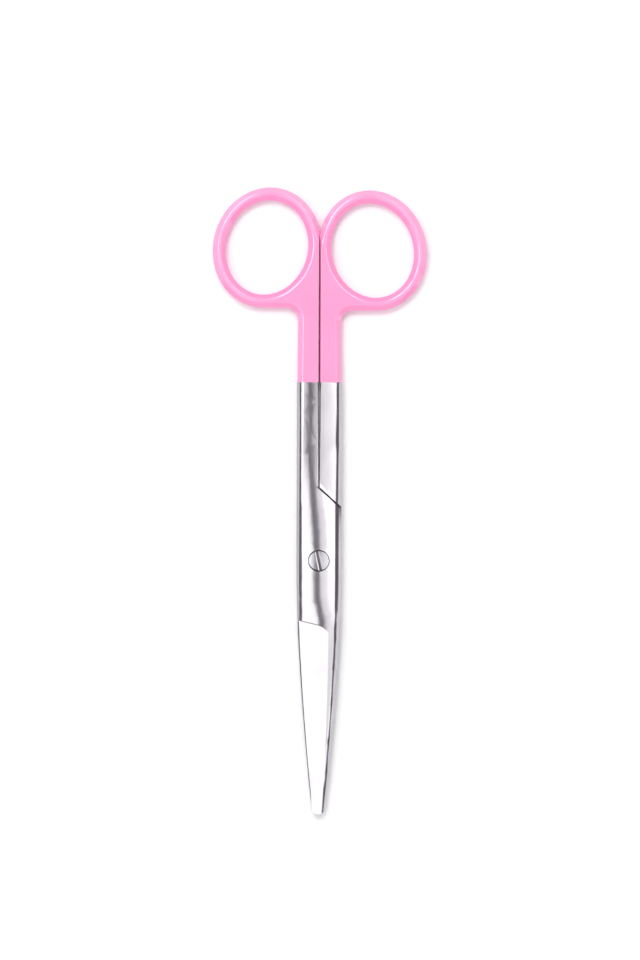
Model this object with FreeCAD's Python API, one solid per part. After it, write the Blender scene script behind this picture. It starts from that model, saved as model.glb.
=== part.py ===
"""Dissecting scissors, 170 mm long: two forged steel halves on a slotted joint screw, with enamelled handles.

Lengths are in millimetres. The scissors lie flat. X runs across them, Y from the tips towards the finger
rings, and Z up. The origin is on the axis of the joint screw, in the plane that the scissors lie on.

Both halves come from one blank. It is drawn about the lap plane, z = 0, as the front half: its ring is on
the left and its blade's spine is on the right. The rear half is the same blank, turned half round about the
Y axis. At the end everything is lifted, to stand on the flat that is ground on the rear half.
"""

import FreeCAD
import Part

import math
import os

V = FreeCAD.Vector

# Plan of the closed scissors
PIVOT_TO_TIP = 68.9          # length of the blades below the joint screw
JOINT_HALF_WIDTH = 6.08
TIP_RADIUS = 1.8             # round nose of the closed blades
SPINE_BEND_Y = -25.0         # the first spine arc leaves the joint straight and ends here
SPINE_BEND_SLOPE = 0.060     # inward run per millimetre at that point
COAT_END_Y = 48.4            # the enamel stops here and the bright steel starts

# Finger rings, measured over the enamel
RING_CENTRE_X = 14.35        # from the seam between the handles
RING_CENTRE_Y = 84.95        # above the joint screw
REAR_RING_DROP = 0.75        # the rear half's ring sits this much lower
FINGER_HOLE_LONG = 25.85
FINGER_HOLE_SHORT = 22.2
RING_WIDTH = 3.5             # width of the ring's bar in plan
RING_LEAN = 15.0             # degrees that the long axis leans towards the seam
RING_EDGE_FLAT = 1.3        # slanted flat along the edges, in plan and in height
RING_EDGE_SOFTENING = 0.5    # rounding of the slanted flat's two edges
WEB_FILLET = 3.0             # hollow corner between the ring and the shank

# Shanks
SHANK_HALF_WIDTH_AT_WEB = 5.72
SHANK_HALF_WIDTH_AT_COAT = 5.98
SEAM_AT_RING = 0.25          # half the gap between the enamelled handles at their faces, beside the rings
SEAM_AT_COAT = 0.27          # the same at the end of the enamel
SEAM_INSIDE = 0.1            # half the gap inside the seam, where its leaning walls have drawn together
SEAM_WALL_LEAN = 8           # of the seam's walls, in degrees
SEAM_AT_LAP = 0.2            # half the gap between the steel shanks at the lap joint

# Thickness, each measured from the lap plane
COAT = 0.22                  # film of enamel
HANDLE_Z_AT_COAT = 2.4       # enamelled face at the end of the enamel
HANDLE_Z_AT_RING_TOP = 1.8   # enamelled face at the far end of the ring
STEEL_Z_AT_COAT = 2.5
JOINT_Z = 2.8
TIP_Z = 1.0
BLADE_BOW = 0.12             # the blade's back stands this much over a straight taper

# Section of the bare steel: a crown, with a flat along each side of it
CROWN_RADIUS = 18.0
BACK_RADIUS = 30.0           # the shank's inner face is flatter
SHANK_CROWN_X = -2.4         # the top of the crown on the shank's outer face
JOINT_CROWN_X = -0.4        # the same at the joint screw
BACK_CROWN_X = 1.0           # the inner face slopes down from the seam, as its top would lie beyond it
BLADE_CROWN_SHARE = 0.26     # place of the crown's top on the blade, as a share of its half width
SIDE_FLAT_AT_JOINT = 1.15    # width in plan of the flat beside the crown
SIDE_FLAT_AT_TIP = 0.5
SIDE_WALL_SHARE = 0.55       # height of the upright side, as a share of the height of the flat's top
CROWN_EDGE_SOFTENING = 0.55

# Lap joint
LAP_GAP = 0.04               # running gap between the two lap faces
SHOULDER_DISTANCE = 14.75    # from the pivot to the middle of the gap at the shoulder
SHOULDER_ANGLE = 48.0        # degrees from the X axis to the shoulder's normal
SHOULDER_GAP = 0.36
RELIEF_NOTCH = 0.35          # the shoulder cut runs on this far past the seam
SHOULDER_FACET_WIDTH = 1.1
SHOULDER_FACET_SLOPE = 16.0

# Joint screw
SCREW_HEAD_RADIUS = 2.75
SCREW_HEAD_LAND = 0.9        # the head's straight side, measured down from the top of the crown
SCREW_NECK_RADIUS = 1.6      # the plain part that the front half turns on
SCREW_THREAD_RADIUS = 1.45
SLOT_WIDTH = 0.8
SLOT_DEPTH = 0.9
SLOT_EDGE_WIDTH = 0.18       # of the worn strip along each edge of the slot
SLOT_EDGE_SLOPE = 15
SLOT_LEAN = 12.0             # degrees from the Y axis
RIM_BREAK = 0.08             # the head's rim is broken by this much
RIM_GROOVE_WIDTH = 0.2       # of the narrow groove between the head and its seat
RIM_GROOVE_DEPTH = 0.5
RUNNING_CLEARANCE = 0.05
THREAD_CLEARANCE = 0.02
GROUND_FLAT_DEPTH = 0.12     # depth of the flat that is ground on the rear half's crown

# Blade
HEEL_Y = -16.5               # the bevel's upper end at the cutting edge
HEEL_FALL = 0.3              # fall of that end per millimetre across the blade
HEEL_CORNER_RADIUS = 5.0
HEEL_DRAFT = 0.25            # lean of the heel's wall, as its run per millimetre of height
CREASE_X = 2.6               # the ridge between the bevel and the crown
CREASE_Y = -27.0             # the place along the blade where it is measured
EDGE_HEIGHT_AT_HEEL = 0.5    # thickness left over the cutting edge
EDGE_HEIGHT_AT_TIP = 0.35
EDGE_INSET_AT_HEEL = 0.25     # the cutting edge lies this far inside the other blade's spine
EDGE_INSET_AT_TIP = 0.15
EDGE_SLOPE = 65.0            # degrees of the ground cutting edge
HOLLOW_RADIUS = 60.0         # hollow grinding of the inner face
HOLLOW_DEPTH_AT_HEEL = 0.12
HOLLOW_DEPTH_AT_TIP = 0.02

# Room that the cutters take beyond the work
OVER = 10.0


def line(a, b):
    return Part.LineSegment(a, b).toShape()


def arc(a, middle, b):
    return Part.Arc(a, middle, b).toShape()


def block(x0, x1, y0, y1, z0, z1):
    return Part.makeBox(x1 - x0, y1 - y0, z1 - z0, V(x0, y0, z0))


def prism(points, z0, z1):
    """A polygon in plan, standing from z0 to z1."""
    corners = [V(x, y, z0) for x, y in points]
    return Part.Face(Part.makePolygon(corners + corners[:1])).extrude(V(0, 0, z1 - z0))


def behind_plane(point, normal, size=120.0):
    """A block that lies against a plane, on the side that the normal points to."""
    solid = Part.makeBox(size, size, size, V(-size / 2, -size / 2, 0))
    solid.Placement = FreeCAD.Placement(point, FreeCAD.Rotation(V(0, 0, 1), normal))
    return solid


def mix(y, y0, value0, y1, value1):
    """The value at y on the straight line through two given values."""
    return value0 + (value1 - value0) * (y - y0) / (y1 - y0)


def ease(share):
    share = max(0.0, min(1.0, share))
    return share * share * (3 - 2 * share)


def round_corner(before, corner, after, radius):
    """Start, middle and end of the arc that rounds a corner between two straight lines."""
    to_before, to_after = (before - corner).normalize(), (after - corner).normalize()
    half_angle = to_before.getAngle(to_after) / 2
    run = radius / math.tan(half_angle)
    bisector = (to_before + to_after).normalize()
    centre = corner + bisector * (radius / math.sin(half_angle))
    return corner + to_before * run, centre - bisector * radius, corner + to_after * run


# The bare steel, from the end of the enamel to the tips

NOSE_Y = TIP_RADIUS - PIVOT_TO_TIP
BLADE_START_Y = HEEL_Y / 2


def half_width(y):
    """Half the width of the closed scissors. Below the joint it is also the place of a blade's spine."""
    if y >= 0:
        return JOINT_HALF_WIDTH
    if y >= SPINE_BEND_Y:
        return JOINT_HALF_WIDTH + y * y * SPINE_BEND_SLOPE / (2 * SPINE_BEND_Y)
    at_bend = JOINT_HALF_WIDTH + SPINE_BEND_Y * SPINE_BEND_SLOPE / 2
    run = SPINE_BEND_Y - y
    full_run = SPINE_BEND_Y - NOSE_Y
    bow = at_bend - SPINE_BEND_SLOPE * full_run - TIP_RADIUS
    return at_bend - SPINE_BEND_SLOPE * run - bow * (run / full_run) ** 2


def crown_top(y):
    """Height of the crown's top over the lap plane."""
    if y >= 0:
        return mix(y, 0, JOINT_Z, COAT_END_Y, STEEL_Z_AT_COAT)
    if y >= BLADE_START_Y:
        return JOINT_Z
    share = (BLADE_START_Y - y) / (BLADE_START_Y + PIVOT_TO_TIP)
    return JOINT_Z + (TIP_Z - JOINT_Z) * share + 4 * BLADE_BOW * share * (1 - share)


def outer_crown_x(y):
    """The crown's top moves from the middle of the shank, over the screw, to the blade's back."""
    if y >= 0:
        return JOINT_CROWN_X + (SHANK_CROWN_X - JOINT_CROWN_X) * ease(y / (2.2 * SHOULDER_DISTANCE))
    blade_x = BLADE_CROWN_SHARE * half_width(y)
    return JOINT_CROWN_X + (blade_x - JOINT_CROWN_X) * ease((BLADE_START_Y - y) / (BLADE_START_Y - 1.25 * HEEL_Y))


def crown_z(x, y, up):
    """Height of a crowned face over the lap plane. up is 1 for the outer face and -1 for the inner one."""
    if up > 0:
        return crown_top(y) - CROWN_RADIUS + math.sqrt(CROWN_RADIUS**2 - (x - outer_crown_x(y)) ** 2)
    return crown_top(y) - BACK_RADIUS + math.sqrt(BACK_RADIUS**2 - (x - BACK_CROWN_X) ** 2)


def softened(before, corner, after):
    """A small curve that rounds one corner of the section, with its two ends."""
    start = corner + (before - corner).normalize() * CROWN_EDGE_SOFTENING
    end = corner + (after - corner).normalize() * CROWN_EDGE_SOFTENING
    curve = Part.BezierCurve()
    curve.setPoles([start, corner, end])
    return start, curve.toShape(), end


def crowned_side(y, up):
    """One face of the section, as edges from its right upright side to its left one."""
    w = half_width(y)
    flat = SIDE_FLAT_AT_JOINT
    if y < 0:
        flat = mix(y, 0, SIDE_FLAT_AT_JOINT, -PIVOT_TO_TIP, SIDE_FLAT_AT_TIP)
    edge_x = w - flat
    inner_x = edge_x - 2 * CROWN_EDGE_SOFTENING

    def on_face(x, share=1.0):
        return up * share * crown_z(x, y, up)

    right_side = V(w, y, on_face(edge_x, SIDE_WALL_SHARE))
    left_side = V(-w, y, on_face(-edge_x, SIDE_WALL_SHARE))
    crown_right = V(inner_x, y, on_face(inner_x))
    crown_left = V(-inner_x, y, on_face(-inner_x))
    right_start, right_curve, right_end = softened(right_side, V(edge_x, y, on_face(edge_x)), crown_right)
    left_start, left_curve, left_end = softened(crown_left, V(-edge_x, y, on_face(-edge_x)), left_side)
    edges = [
        line(right_side, right_start),
        right_curve,
        arc(right_end, V(0, y, on_face(0)), left_start),
        left_curve,
        line(left_end, left_side),
    ]
    return right_side, left_side, edges


def steel_section(y):
    """Section across the closed scissors, with a crown and two side flats on each face."""
    right_top, left_top, outer = crowned_side(y, 1)
    right_low, left_low, inner = crowned_side(y, -1)
    return Part.Wire([line(right_low, right_top)] + outer + [line(left_top, left_low)] + inner[::-1])


def steps(y0, y1, count):
    return [mix(i, 0, y0, count, y1) for i in range(count + 1)]


def steel_bar():
    """The closed scissors' bare steel in full thickness, from the end of the enamel to the round nose."""
    stations = steps(COAT_END_Y, -PIVOT_TO_TIP, 20)
    bar = Part.makeLoft([steel_section(y) for y in stations], True, False)
    nose = Part.makeCylinder(TIP_RADIUS, 2 * OVER, V(0, NOSE_Y, -OVER))
    return bar.cut(block(-OVER, OVER, -PIVOT_TO_TIP - OVER, NOSE_Y, -OVER, OVER).cut(nose))


# Seam and shoulder, as lines in plan

NORMAL = V(math.cos(math.radians(SHOULDER_ANGLE)), math.sin(math.radians(SHOULDER_ANGLE)), 0)
ALONG = V(NORMAL.y, -NORMAL.x, 0)
SEAM_LOW_Y = SHOULDER_DISTANCE / NORMAL.y


def shoulder_y(x, side, offset):
    """The shoulder's line at x. side is 1 for the front lap's edge on the right, and -1 for the left one."""
    return (SHOULDER_DISTANCE + offset - side * NORMAL.x * x) / NORMAL.y


def steel_seam(y):
    return -mix(y, SEAM_LOW_Y, SEAM_AT_LAP, COAT_END_Y, SEAM_AT_COAT + COAT)


def beyond_shoulder(side, offset, x0, x1, y_far):
    """Corners of the plan region above the shoulder's line, between x0 and x1."""
    return [
        (x0, shoulder_y(x0, side, offset)),
        (x1, shoulder_y(x1, side, offset)),
        (x1, y_far),
        (x0, y_far),
    ]


def steel_body():
    """The blank without its handle core: shank, lap joint and the blade before it is ground."""
    far = COAT_END_Y + OVER
    seam_low, seam_high = steel_seam(0), steel_seam(far)
    body = steel_bar()

    # Right of the seam nothing stands above the shoulder
    seam = prism([(seam_low, 0), (2 * OVER, 0), (2 * OVER, far), (seam_high, far)], -OVER, OVER)
    above = prism(beyond_shoulder(1, -SHOULDER_GAP / 2, -2 * OVER, 2 * OVER, far), -OVER, OVER)
    body = body.cut(seam.common(above))
    notch = Part.makeBox(RELIEF_NOTCH + OVER, SHOULDER_GAP, 2 * OVER)
    notch.Placement = FreeCAD.Placement(
        V(steel_seam(SEAM_LOW_Y), SEAM_LOW_Y, -OVER) - ALONG * RELIEF_NOTCH - NORMAL * (SHOULDER_GAP / 2),
        FreeCAD.Rotation(V(0, 0, 1), SHOULDER_ANGLE - 90),
    )
    body = body.cut(notch.common(block(-OVER, OVER, 0, far, 0, OVER)))
    body = body.cut(seam.common(block(-OVER, 2 * OVER, 0, far, -OVER, LAP_GAP / 2)))

    # The lap face
    lap_plan = [
        (-2 * OVER, -PIVOT_TO_TIP - OVER),
        (2 * OVER, -PIVOT_TO_TIP - OVER),
        (2 * OVER, shoulder_y(2 * OVER, -1, SHOULDER_GAP / 2)),
        (-2 * OVER, shoulder_y(-2 * OVER, -1, SHOULDER_GAP / 2)),
    ]
    body = body.cut(prism(lap_plan, -OVER, LAP_GAP / 2))

    # The slanted facet over the shoulder, on the shank's inner face
    slope = math.radians(SHOULDER_FACET_SLOPE)
    mirrored = V(-NORMAL.x, NORMAL.y, 0)
    foot = mirrored * (SHOULDER_DISTANCE + SHOULDER_GAP / 2 + SHOULDER_FACET_WIDTH)
    height = crown_z(0, SEAM_LOW_Y, -1)
    outward = V(0, 0, -math.cos(slope)) - mirrored * math.sin(slope)
    facet = behind_plane(foot + V(0, 0, -height), outward)
    return body.cut(facet.common(block(-2 * OVER, 0, 0, 3 * OVER, -OVER, -LAP_GAP)))


# The blade's grinding

def edge_x(y):
    return mix(y, HEEL_Y, EDGE_INSET_AT_HEEL, NOSE_Y, EDGE_INSET_AT_TIP) - half_width(y)


def heel_y(x):
    return HEEL_Y - HEEL_FALL * (x - edge_x(HEEL_Y))


def heel_wall(z):
    """Plan of the bevel's grinding at height z. Its upper end and its corner lean back as they rise."""
    back = HEEL_DRAFT * z
    left = V(-OVER, heel_y(-OVER) + back, z)
    corner = V(CREASE_X + back, heel_y(CREASE_X) + back, z)
    down = V(corner.x + 0.3, CREASE_Y, z)
    start, middle, end = round_corner(left, corner, down, HEEL_CORNER_RADIUS)
    low = -PIVOT_TO_TIP - OVER
    right = V(OVER, -PIVOT_TO_TIP / 2, z)
    return Part.Wire([
        line(left, start),
        arc(start, middle, end),
        line(end, right),
        line(right, V(OVER, low, z)),
        line(V(OVER, low, z), V(-OVER, low, z)),
        line(V(-OVER, low, z), left),
    ])


def grind_blade(body):
    tip_y = -PIVOT_TO_TIP

    # The bevel is a plane through the cutting edge at both ends and through the ridge
    at_heel = V(edge_x(HEEL_Y), HEEL_Y, EDGE_HEIGHT_AT_HEEL)
    at_tip = V(edge_x(NOSE_Y), NOSE_Y, EDGE_HEIGHT_AT_TIP)
    ridge = V(CREASE_X, CREASE_Y, crown_z(CREASE_X, CREASE_Y, 1))
    normal = (at_tip - at_heel).cross(ridge - at_heel).normalize()
    if normal.z < 0:
        normal = -normal
    walls = [heel_wall(z) for z in (-1.0, JOINT_Z + 1.0)]
    bevel = Part.makeLoft(walls, True, True).common(behind_plane(ridge, normal))
    body = body.cut(bevel)

    # The cutting edge, sloped back from the inner face
    lean = math.tan(math.radians(90 - EDGE_SLOPE))
    away = []
    for y in steps(tip_y - 1, HEEL_Y, 8):
        x = edge_x(max(y, NOSE_Y))
        away.append(Part.makePolygon([
            V(x, y, LAP_GAP / 2), V(x + lean * 2 * OVER, y, 2 * OVER), V(-3 * OVER, y, 2 * OVER),
            V(-3 * OVER, y, -OVER), V(x - lean * OVER, y, -OVER), V(x, y, LAP_GAP / 2),
        ]))
    body = body.cut(Part.makeLoft(away, True, True))

    # Hollow grinding
    top = V(0, HEEL_Y, LAP_GAP / 2 + HOLLOW_DEPTH_AT_HEEL - HOLLOW_RADIUS)
    bottom = V(0, tip_y, LAP_GAP / 2 + HOLLOW_DEPTH_AT_TIP - HOLLOW_RADIUS)
    return body.cut(Part.makeCylinder(HOLLOW_RADIUS, (bottom - top).Length + OVER, top, bottom - top))


# The enamelled handle

def ring_edge(centre, long_way, short_way, a, b, start, end):
    """Part of an ellipse, from one turn to another, counted from its long axis towards short_way."""
    ellipse = Part.Ellipse(centre + long_way * a, centre + short_way * b, centre)
    return Part.Edge(ellipse, start, end)


def level_faces(solid):
    """The upper and the lower face of the handle."""
    return [f for f in solid.Faces if f.Surface.TypeId == "Part::GeomPlane" and abs(f.normalAt(0, 0).z) > 0.98]


def is_free(edge, y_low):
    """Whether an edge is one of the handle's own, and not where it is cut at the seam or at the enamel's end."""
    middle = edge.valueAt((edge.FirstParameter + edge.LastParameter) / 2)
    return middle.x < 0 and middle.y > y_low + 0.01


def handle_plate(drop, inset, y_low):
    """Ring, web and shank in one. inset is 0 for the enamel's surface and the film's thickness for the core."""
    lean = math.radians(RING_LEAN)
    centre = V(-RING_CENTRE_X, RING_CENTRE_Y - drop, -OVER)
    long_way, short_way = V(math.sin(lean), math.cos(lean), 0), V(-math.cos(lean), math.sin(lean), 0)
    a = FINGER_HOLE_LONG / 2 + RING_WIDTH - inset
    b = FINGER_HOLE_SHORT / 2 + RING_WIDTH - inset
    bottom = math.pi + math.atan2(b * short_way.y, a * long_way.y)
    crotch = math.atan2(b * short_way.x, a * long_way.x) + math.radians(17)
    ring = ring_edge(centre, long_way, short_way, a, b, crotch, bottom)
    crotch_point, foot = ring.Vertexes[0].Point, ring.Vertexes[-1].Point
    tangent = (short_way * (b * math.cos(crotch)) - long_way * (a * math.sin(crotch))).normalize()
    reach = crotch_point - tangent * 4

    web_y = RING_CENTRE_Y - FINGER_HOLE_LONG / 2
    side_low = V(mix(y_low, COAT_END_Y, -SHANK_HALF_WIDTH_AT_COAT, web_y, -SHANK_HALF_WIDTH_AT_WEB), y_low, -OVER)
    corner = V(mix(foot.y, COAT_END_Y, -SHANK_HALF_WIDTH_AT_COAT, web_y, -SHANK_HALF_WIDTH_AT_WEB), foot.y, -OVER)
    side_low.x += inset
    corner.x += inset
    start, middle, end = round_corner(foot, corner, side_low, WEB_FILLET + inset)
    outline = Part.Wire([
        ring,
        line(foot, start),
        arc(start, middle, end),
        line(end, side_low),
        line(side_low, V(OVER, y_low, -OVER)),
        line(V(OVER, y_low, -OVER), V(OVER, reach.y, -OVER)),
        line(V(OVER, reach.y, -OVER), reach),
        line(reach, crotch_point),
    ])
    plate = Part.Face(outline).extrude(V(0, 0, 2 * OVER))
    hole = Part.Wire([ring_edge(
        centre, long_way, short_way, a - RING_WIDTH + 2 * inset, b - RING_WIDTH + 2 * inset, 0, 2 * math.pi)])
    plate = plate.cut(Part.Face(hole).extrude(V(0, 0, 2 * OVER)))

    # Both faces taper towards the ring
    far_y = RING_CENTRE_Y + FINGER_HOLE_LONG
    top_y = RING_CENTRE_Y + FINGER_HOLE_LONG / 2 + RING_WIDTH
    z_low = mix(y_low, COAT_END_Y, HANDLE_Z_AT_COAT, top_y, HANDLE_Z_AT_RING_TOP) - inset
    z_far = mix(far_y, COAT_END_Y, HANDLE_Z_AT_COAT, top_y, HANDLE_Z_AT_RING_TOP) - inset
    profile = Part.makePolygon([
        V(-6 * OVER, y_low, -z_low), V(-6 * OVER, far_y, -z_far), V(-6 * OVER, far_y, z_far),
        V(-6 * OVER, y_low, z_low), V(-6 * OVER, y_low, -z_low),
    ])
    plate = plate.common(Part.Face(profile).extrude(V(8 * OVER, 0, 0)))

    # The slanted flats and their rounding, before the seam is cut
    flat = RING_EDGE_FLAT - inset * (2 - math.sqrt(2))
    plate = plate.makeChamfer(flat, [e for f in level_faces(plate) for e in f.Edges if is_free(e, y_low)])
    edges = [e for f in level_faces(plate) for e in f.Edges if is_free(e, y_low)]
    plate = plate.makeFillet(RING_EDGE_SOFTENING, edges)

    # The seam, with walls that lean together from both faces
    plate = plate.cut(block(-SEAM_INSIDE - inset, 2 * OVER, y_low - 1, far_y, -OVER, OVER))
    low = V(-mix(y_low, COAT_END_Y, SEAM_AT_COAT, RING_CENTRE_Y, SEAM_AT_RING) - inset, y_low, z_low)
    far = V(-mix(far_y, COAT_END_Y, SEAM_AT_COAT, RING_CENTRE_Y, SEAM_AT_RING) - inset, far_y, z_far)
    lean = math.radians(SEAM_WALL_LEAN)
    normal = V(math.sin(lean), 0, -math.cos(lean)).cross(far - low)
    plate = plate.cut(behind_plane(low, normal))
    return plate.cut(behind_plane(V(low.x, low.y, -low.z), V(normal.x, normal.y, -normal.z)))


# The joint screw, and its seat in the two halves

def disc(radius, z0, z1):
    return Part.makeCylinder(radius, z1 - z0, V(0, 0, z0))


def screw_blank(clearance, thread_clearance):
    """Head, countersink, plain neck in the front half and thread in the rear one."""
    head_radius = SCREW_HEAD_RADIUS + clearance
    neck_radius = SCREW_NECK_RADIUS + clearance
    cone_top = JOINT_Z - SCREW_HEAD_LAND
    cone_bottom = cone_top - (head_radius - neck_radius)
    cone = Part.makeCone(neck_radius, head_radius, cone_top - cone_bottom, V(0, 0, cone_bottom))
    shape = disc(head_radius, cone_top, JOINT_Z + 1).fuse(cone)
    shape = shape.fuse(disc(neck_radius, LAP_GAP / 2, cone_bottom + 0.01))
    return shape.fuse(disc(SCREW_THREAD_RADIUS + thread_clearance, -JOINT_Z - 1, LAP_GAP / 2 + 0.01))


def rim_height():
    """The crown's mean height round the head's rim."""
    return JOINT_Z - SCREW_HEAD_RADIUS**2 / (4 * CROWN_RADIUS)


def seat():
    """What the front half's seat takes away, with the narrow groove round the head."""
    groove = disc(SCREW_HEAD_RADIUS + RIM_GROOVE_WIDTH, rim_height() - RIM_GROOVE_DEPTH, JOINT_Z + 1)
    return screw_blank(RUNNING_CLEARANCE, RUNNING_CLEARANCE).fuse(groove)


def joint_screw(bar):
    screw = screw_blank(0, 0).common(bar)
    low = rim_height() - RIM_BREAK
    rim = Part.makeCone(SCREW_HEAD_RADIUS, SCREW_HEAD_RADIUS - RIM_BREAK - 1, RIM_BREAK + 1, V(0, 0, low))
    screw = screw.cut(disc(SCREW_HEAD_RADIUS + 1, low, JOINT_Z + 0.5).cut(rim))
    mouth = SLOT_WIDTH / 2 + SLOT_EDGE_WIDTH
    edge_z = JOINT_Z - SLOT_EDGE_WIDTH * math.tan(math.radians(SLOT_EDGE_SLOPE))
    right = [(SLOT_WIDTH / 2, JOINT_Z - SLOT_DEPTH), (SLOT_WIDTH / 2, edge_z), (mouth, JOINT_Z), (mouth, JOINT_Z + 1)]
    profile = [V(x, -OVER, z) for x, z in right] + [V(-x, -OVER, z) for x, z in reversed(right)]
    slot = Part.Face(Part.makePolygon(profile + profile[:1])).extrude(V(0, 2 * OVER, 0))
    slot.rotate(V(0, 0, 0), V(0, 0, 1), SLOT_LEAN)
    return screw.cut(slot)


def half(drop):
    """The steel of one half and its enamel, both as they lie in the front half's place."""
    core = handle_plate(drop, COAT, COAT_END_Y)
    steel = grind_blade(steel_body()).fuse(core)
    coating = handle_plate(drop, 0, COAT_END_Y).cut(core)
    return steel, coating


def turned(shape):
    return shape.rotated(V(0, 0, 0), V(0, 1, 0), 180)


def main():
    front, front_coating = half(0)
    rear, rear_coating = (turned(shape) for shape in half(REAR_RING_DROP))
    ground_z = GROUND_FLAT_DEPTH - JOINT_Z
    below = block(-OVER, OVER, -3 * OVER, 3 * OVER, -JOINT_Z - OVER, ground_z)
    screw = joint_screw(steel_bar()).cut(below)
    front = front.cut(seat())
    rear = rear.cut(screw_blank(RUNNING_CLEARANCE, THREAD_CLEARANCE)).cut(below)
    parts = {
        "front_half": front,
        "rear_half": rear,
        "pivot_screw": screw,
        "front_handle_coating": front_coating,
        "rear_handle_coating": rear_coating,
    }
    os.makedirs("parts", exist_ok=True)
    for name, shape in parts.items():
        shape = shape.removeSplitter()
        shape.translate(V(0, 0, -ground_z))
        print(name, shape.isValid(), len(shape.Solids), len(shape.Faces), round(shape.Volume, 2))
        shape.exportStep("parts/" + name + ".step")


main()
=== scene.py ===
# %% [markdown]
# # Dissecting scissors
#
# A straight pair of surgical dissecting scissors, 170 mm long, lies closed on a white table. The finger
# rings and the upper shanks are enamelled in glossy pink. Everything below them is bare satin steel.
#
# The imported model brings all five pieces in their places: two forged halves, the slotted screw of the
# joint, and a film of enamel on each handle. They could be modelled again here, but the solids are exact,
# so they stay. This notebook gives them their finishes, and then adds the table, the camera and the lights.

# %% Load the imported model
import math

import bpy
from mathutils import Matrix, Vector

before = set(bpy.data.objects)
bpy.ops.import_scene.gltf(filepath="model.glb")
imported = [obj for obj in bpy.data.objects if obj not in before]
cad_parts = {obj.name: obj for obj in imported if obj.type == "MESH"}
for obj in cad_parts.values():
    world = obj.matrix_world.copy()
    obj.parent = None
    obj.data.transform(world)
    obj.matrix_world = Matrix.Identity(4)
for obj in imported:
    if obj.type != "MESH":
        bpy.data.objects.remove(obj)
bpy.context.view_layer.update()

print("nodes:", sorted(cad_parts))

# %% [markdown]
# ## How a finish is written
#
# A finish is a tree of nodes behind one shader. It could be wired by hand in the shader editor. Here one
# small function adds a node with its settings and links, so that a finish reads from top to bottom.
#
# Colours are read from the photograph as sRGB codes, and a shader wants linear values, so a function
# turns them. Patterns are in object coordinates, which are metres, so each one gets its real size. `MM`
# turns the sizes in this notebook, which are in millimetres unless a comment says otherwise, into metres.

# %% Colours
MM = 0.001


def linear(code):
    """An sRGB hex code as linear colour with alpha."""
    values = [int(code[i:i + 2], 16) / 255 for i in (1, 3, 5)]
    return [v / 12.92 if v <= 0.04045 else ((v + 0.055) / 1.055) ** 2.4 for v in values] + [1.0]


def grey(value):
    """A linear grey with alpha."""
    return [value, value, value, 1.0]


print("the sRGB grey #808080 is", round(linear("#808080")[0], 3), "in linear light")


# %% Nodes
def new_material(name):
    """A material with its node tree and its shader."""
    material = bpy.data.materials.new(name)
    material.use_nodes = True
    return material, material.node_tree, material.node_tree.nodes["Principled BSDF"]


def connect(tree, node, inputs):
    """Link each input of a node to a socket, or set it to a value."""
    for key, value in inputs.items():
        if isinstance(value, bpy.types.NodeSocket):
            tree.links.new(value, node.inputs[key])
        else:
            node.inputs[key].default_value = value


def add(tree, kind, inputs=None, stops=(), **settings):
    """Add a node with its settings, its inputs, and the (position, colour) stops of a colour ramp."""
    node = tree.nodes.new(kind)
    for key, value in settings.items():
        setattr(node, key, value)
    connect(tree, node, inputs or {})
    for index, (position, colour) in enumerate(stops):
        node.color_ramp.elements[index].position = position
        node.color_ramp.elements[index].color = colour
    return node


# %% [markdown]
# ## Painted shade in crevices
#
# On the real scissors little light gets down between the halves and round the head of the screw, so the
# narrow gaps there look dark. Dark lines could be painted along them. Here the ambient occlusion node finds
# every such place by itself, and both finishes paint that shade into their colour there.

# %% Painted shade in crevices
CREVICE_REACH = 0.8          # how far a face looks for its neighbours
CREVICE_SAMPLES = 8
MIX_COLOUR_A = 6             # sockets of the mix node when it mixes colours
MIX_COLOUR_B = 7
MIX_RESULT = 2


def paint_crevice_shade(tree, colour, shade_colour, shut, clear):
    """Paint shade into a colour: blend it to a darker one, from none at the share of open sky `clear` to all
    at `shut`.
    """
    sky = add(tree, "ShaderNodeAmbientOcclusion", {"Distance": CREVICE_REACH * MM}, samples=CREVICE_SAMPLES)
    depth = add(
        tree,
        "ShaderNodeValToRGB",
        {"Fac": sky.outputs["AO"]},
        stops=[(shut, grey(1.0)), (clear, grey(0.0))],
    )
    blend = add(tree, "ShaderNodeMix", {
        "Factor": depth.outputs["Color"],
        MIX_COLOUR_A: colour,
        MIX_COLOUR_B: linear(shade_colour),
    }, data_type="RGBA")
    return blend.outputs[MIX_RESULT]


print("a crevice is dark where a neighbour is nearer than", CREVICE_REACH, "mm")

# %% [markdown]
# ## Satin steel
#
# The halves are stainless steel, belt ground along their length and then matt brushed. That gives the eye
# fine lines about 0.1 mm apart, softly broken up, and a slight unevenness of colour where hands have been.
#
# A picture of brushed steel could be wrapped round the pieces. Noise that is stretched along them needs no
# picture and no unwrapping. The same lines set the roughness and a very low bump, so that they stay
# together.

# %% Satin steel
STEEL = "#ccc8cc"
STEEL_WORN = "#c4c0c5"
# the colour of the painted shade in the steel's narrow gaps
STEEL_CREVICE_SHADE = "#3a3438"
LINE_STRETCH = 60            # how much longer than wide a brushed line is
LINE_HEIGHT = 0.01
LINE_STRENGTH = 0.03
WEAR_SIZE = 9                # width of the clouds in the colour
SMOOTH_LINE = 0.85           # the roughness along the lines, as shares of the steel's own
ROUGH_LINE = 1.2


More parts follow.
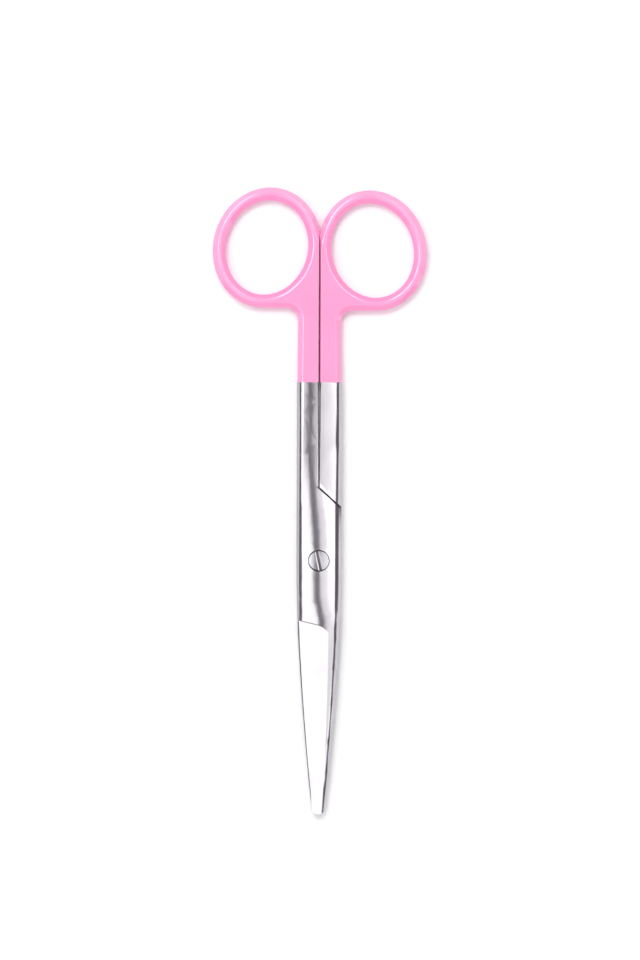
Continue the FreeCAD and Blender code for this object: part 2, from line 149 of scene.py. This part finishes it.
def satin_steel(name, base, line_width, roughness):
    material, tree, shader = new_material(name)
    place = add(tree, "ShaderNodeTexCoord").outputs["Object"]
    along = add(tree, "ShaderNodeMapping", {
        "Vector": place,
        "Scale": (1 / (line_width * MM), 1 / (LINE_STRETCH * line_width * MM), 1 / (line_width * MM)),
    })
    lines = add(tree, "ShaderNodeTexNoise", {"Vector": along.outputs["Vector"], "Scale": 1.0, "Detail": 3.0})
    clouds = add(tree, "ShaderNodeTexNoise", {"Vector": place, "Scale": 1 / (WEAR_SIZE * MM), "Detail": 2.0})
    colour = add(
        tree,
        "ShaderNodeValToRGB",
        {"Fac": clouds.outputs["Fac"]},
        stops=[(0.35, linear(base)), (0.75, linear(STEEL_WORN))],
    )
    gloss = add(
        tree,
        "ShaderNodeValToRGB",
        {"Fac": lines.outputs["Fac"]},
        stops=[(0.3, grey(roughness * SMOOTH_LINE)), (0.7, grey(roughness * ROUGH_LINE))],
    )
    bump = add(tree, "ShaderNodeBump", {
        "Height": lines.outputs["Fac"],
        "Strength": LINE_STRENGTH,
        "Distance": LINE_HEIGHT * MM,
    })
    connect(tree, shader, {
        # the steel's colour gets painted shade in its narrow gaps
        "Base Color": paint_crevice_shade(tree, colour.outputs["Color"], STEEL_CREVICE_SHADE, shut=0.25, clear=0.75),
        "Metallic": 1.0,
        "Roughness": gloss.outputs["Color"],
        "Normal": bump.outputs["Normal"],
    })
    return material


steel = satin_steel("satin_ground_steel", STEEL, line_width=0.12, roughness=0.17)
print("made", steel.name, "with", len(steel.node_tree.nodes), "nodes")

# %% [markdown]
# The screw is turned from the same steel, and it is a little finer and duller. It could have a material of
# its own from the start, but it only differs in three values, so the same function makes it.

# %% Steel of the screw
SCREW_STEEL = "#c4c0c6"

screw_steel = satin_steel("turned_screw_steel", SCREW_STEEL, line_width=0.08, roughness=0.2)
print("made", screw_steel.name, "with", len(screw_steel.node_tree.nodes), "nodes")

# %% [markdown]
# ## Glossy enamel
#
# The handles are dipped in pink enamel and baked. That gives the eye a smooth, very glossy film that is a
# little deeper in colour here and there, with the faintest orange peel.
#
# The gloss could come from a low roughness. A clear coat over a softer base is nearer to the real film,
# which shows its full colour under a sharp reflection. The coat's high IOR keeps the highlights bright on
# so pale a pink.

# %% Glossy enamel
ENAMEL = "#ff93c8"
ENAMEL_DEEP = "#ff8cc3"
# the colour of the painted shade in the enamel's seam and gaps
ENAMEL_CREVICE_SHADE = "#d84a90"
CLOUD_SIZE = 14              # width of the deeper patches
PEEL_SIZE = 1.2              # width of the orange peel's dimples
PEEL_HEIGHT = 0.02
PEEL_STRENGTH = 0.08


def glossy_enamel(name):
    material, tree, shader = new_material(name)
    place = add(tree, "ShaderNodeTexCoord").outputs["Object"]
    clouds = add(tree, "ShaderNodeTexNoise", {"Vector": place, "Scale": 1 / (CLOUD_SIZE * MM), "Detail": 2.0})
    peel = add(tree, "ShaderNodeTexNoise", {"Vector": place, "Scale": 1 / (PEEL_SIZE * MM), "Detail": 1.0})
    colour = add(
        tree,
        "ShaderNodeValToRGB",
        {"Fac": clouds.outputs["Fac"]},
        stops=[(0.35, linear(ENAMEL)), (0.8, linear(ENAMEL_DEEP))],
    )
    bump = add(tree, "ShaderNodeBump", {
        "Height": peel.outputs["Fac"],
        "Strength": PEEL_STRENGTH,
        "Distance": PEEL_HEIGHT * MM,
    })
    connect(tree, shader, {
        # the enamel's colour gets painted shade in its seam and gaps
        "Base Color": paint_crevice_shade(tree, colour.outputs["Color"], ENAMEL_CREVICE_SHADE, shut=0.15, clear=0.5),
        "Roughness": 0.5,
        "Specular IOR Level": 1.0,
        "Coat Weight": 1.0,
        "Coat Roughness": 0.03,
        "Coat IOR": 2.0,
        "Normal": bump.outputs["Normal"],
    })
    return material


enamel = glossy_enamel("glossy_pink_enamel")
print("made", enamel.name, "with", len(enamel.node_tree.nodes), "nodes")

# %% [markdown]
# ## Put the finishes on the pieces
#
# Each piece is one material all over, because the enamel is a piece of its own. Faces could be painted one
# by one. It is enough here to put the finish in the piece's own material slots, and the shapes aren't
# touched.

# %% Finishes on the pieces
finishes = {
    "front_half": steel,
    "rear_half": steel,
    "pivot_screw": screw_steel,
    "front_handle_coating": enamel,
    "rear_handle_coating": enamel,
}
for node, material in finishes.items():
    for piece in [o for o in bpy.data.objects if o.type == "MESH" and o.name.split(".")[0] == node]:
        for slot in piece.material_slots:
            slot.material = material
        print(piece.name, "->", material.name, "faces:", len(piece.data.polygons))

# %% [markdown]
# ## Table
#
# The scissors lie on a plain white table that has no edge in the picture. A bright background could be put
# behind them, but then they would cast no shadow. A large plane with matt white paint catches the soft
# shadow, and a slight glow that only the picture and the reflections see lifts it to plain white.

# %% Table
TABLE = "#f7f7f7"
TABLE_SIZE = 4.0             # metres
TABLE_CLEARANCE = 0.02       # keeps the plane apart from the faces that lie on it
TABLE_GLOW = 0.02

bpy.ops.object.select_all(action="DESELECT")
bpy.ops.mesh.primitive_plane_add(size=TABLE_SIZE, location=(0, 0, -TABLE_CLEARANCE * MM))
table = bpy.context.object
table.name = "table"

table_paint, tree, shader = new_material("white_table")
rays = add(tree, "ShaderNodeLightPath").outputs
seen = rays["Is Camera Ray"]
for kind in ("Is Glossy Ray", "Is Transmission Ray"):
    seen = add(tree, "ShaderNodeMath", {0: seen, 1: rays[kind]}, operation="MAXIMUM").outputs["Value"]
glow = add(tree, "ShaderNodeMath", {0: seen, 1: TABLE_GLOW}, operation="MULTIPLY")
connect(tree, shader, {
    "Base Color": linear(TABLE),
    "Roughness": 0.8,
    "Specular IOR Level": 0.1,
    "Emission Color": grey(1.0),
    "Emission Strength": glow.outputs["Value"],
})
table.data.materials.append(table_paint)
print("table is", table.dimensions.x, "m wide")

# %% [markdown]
# ## Camera
#
# The photograph looks straight down on the scissors, and shows next to nothing of their sides. A camera
# could be set by eye. Here it is worked out from the photograph, which is 640 by 960 pixels: the scissors
# span 626.7 of them over 170 mm. From 1.6 m away, the rays are almost parallel.

# %% Camera
PIXEL = 0.27126              # what one pixel covers at the scissors' upper faces
PICTURE_HEIGHT = 960         # pixels
SENSOR = 36.0
VIEW_CENTRE_X = 0.25
VIEW_CENTRE_Y = 21.9
VIEW_ROLL = 0.19             # degrees that the scissors lie off the picture's upright
CAMERA_HEIGHT = 1600.0       # over the upper faces
FACE_HEIGHT = 4.5            # height of the upper faces over the table
FAR_END = 20.0               # metres

lens = bpy.data.cameras.new("camera")
lens.sensor_width = SENSOR
lens.lens = SENSOR * CAMERA_HEIGHT / (PICTURE_HEIGHT * PIXEL)
lens.clip_end = FAR_END
camera = bpy.data.objects.new("camera", lens)
bpy.context.collection.objects.link(camera)
camera.location = (VIEW_CENTRE_X * MM, VIEW_CENTRE_Y * MM, (FACE_HEIGHT + CAMERA_HEIGHT) * MM)
camera.rotation_euler = (0, 0, math.radians(VIEW_ROLL))
bpy.context.scene.camera = camera
print("focal length in mm:", round(lens.lens, 1))

# %% [markdown]
# ## Lights
#
# Bare steel shows its surroundings more than itself, so the lights are placed by what the steel mirrors. A
# picture of a studio could be used as the surroundings. Plain rectangular lights do the same with nothing
# to load, and each can be moved until its reflection is in place.
#
# Broad soft lights hang left and right of the camera. Between them stays a dark gap, and the crowned steel
# shows it as the dark streak along its top. Two low walls of light brighten the upright sides.

# %% Soft lights and walls
LAMP_HEIGHT = 1.0            # all lengths for lights are in metres


def softbox(name, place, size, brightness, aim=None):
    """A rectangular light that points at a spot, or straight down. Brightness 1 looks plain white."""
    light = bpy.data.lights.new(name, "AREA")
    light.shape = "RECTANGLE"
    light.size, light.size_y = size
    light.energy = brightness * math.pi * size[0] * size[1]
    lamp = bpy.data.objects.new(name, light)
    bpy.context.collection.objects.link(lamp)
    lamp.location = place
    spot = aim or (place[0], place[1], 0)
    lamp.rotation_euler = (Vector(spot) - Vector(place)).to_track_quat("-Z", "Y").to_euler()
    print(name, "at", place, "size", size, "brightness", brightness)
    return lamp


softbox("left_softbox", (-0.58, 0.4, LAMP_HEIGHT), (0.9, 2.2), 1.65)
softbox("right_inner_strip", (0.2, 0.5, LAMP_HEIGHT), (0.22, 2.0), 1.15)
softbox("right_softbox", (0.51, 0.5, LAMP_HEIGHT), (0.4, 2.0), 1.6)
softbox("left_wall", (-1.4, 0.3, 0.2), (2.0, 0.4), 0.75, aim=(0, 0.3, 0))
softbox("right_wall", (1.4, 0.3, 0.28), (2.0, 0.56), 0.95, aim=(0, 0.3, 0))

# %% [markdown]
# The key light stands over the picture's upper edge and casts the soft shadow below the rings. A fill
# reaches the sides that face the lower edge. Both could be mirrored by the steel and would draw spots on
# it, so they are hidden from reflections.

# %% Key light and fill
front_fill = softbox("front_fill", (0, -1.2, 0.35), (2.0, 0.6), 2.2, aim=(0, 0, 0))
front_fill.visible_glossy = False
key_light = softbox("key_light", (-0.12, 0.4, LAMP_HEIGHT), (0.4, 0.3), 10.0, aim=(0, 0, 0))
key_light.visible_glossy = False

# %% [markdown]
# The thin highlights along the rounded edges of the rings are reflections of bright tubes. They could be
# painted on, but would then stay when the scissors turn. The tubes hang just in front of the soft lights,
# far enough up the picture for the enamel alone to mirror them, and they light nothing else.
#
# Two cards do the same for the pale walls of a room, which the sides of the pieces mirror from low down.

# %% Tubes and cards that only reflections see
TUBE_HEIGHT = 0.95
CARD_HEIGHT = 0.7
CARD_SIZE = (3.2, 1.0)
CARD_BRIGHTNESS = 0.6

reflected = [
    softbox("left_tube", (-0.43, 0.6, TUBE_HEIGHT), (0.15, 1.05), 12),
    softbox("right_tube", (0.43, 0.59, TUBE_HEIGHT), (0.14, 1.0), 6),
    softbox("back_card", (0, 1.5, CARD_HEIGHT), CARD_SIZE, CARD_BRIGHTNESS, aim=(0, 0, 0)),
    softbox("front_card", (0, -1.5, CARD_HEIGHT), CARD_SIZE, CARD_BRIGHTNESS, aim=(0, 0, 0)),
]
for lamp in reflected:
    lamp.visible_diffuse = False

# %% [markdown]
# The rest of the room is a dim, slightly violet white. It could be black, but the dark streak on the steel
# would then be black too, and in the photograph it is grey. The standard view transform keeps white as
# plain white.

# %% Room and view
ROOM = "#f2eefa"
ROOM_STRENGTH = 0.17

world = bpy.data.worlds.new("world")
bpy.context.scene.world = world
world.use_nodes = True
background = world.node_tree.nodes["Background"]
connect(world.node_tree, background, {"Color": linear(ROOM), "Strength": ROOM_STRENGTH})
bpy.context.scene.view_settings.view_transform = "Standard"
print("room:", ROOM, "at strength", ROOM_STRENGTH)
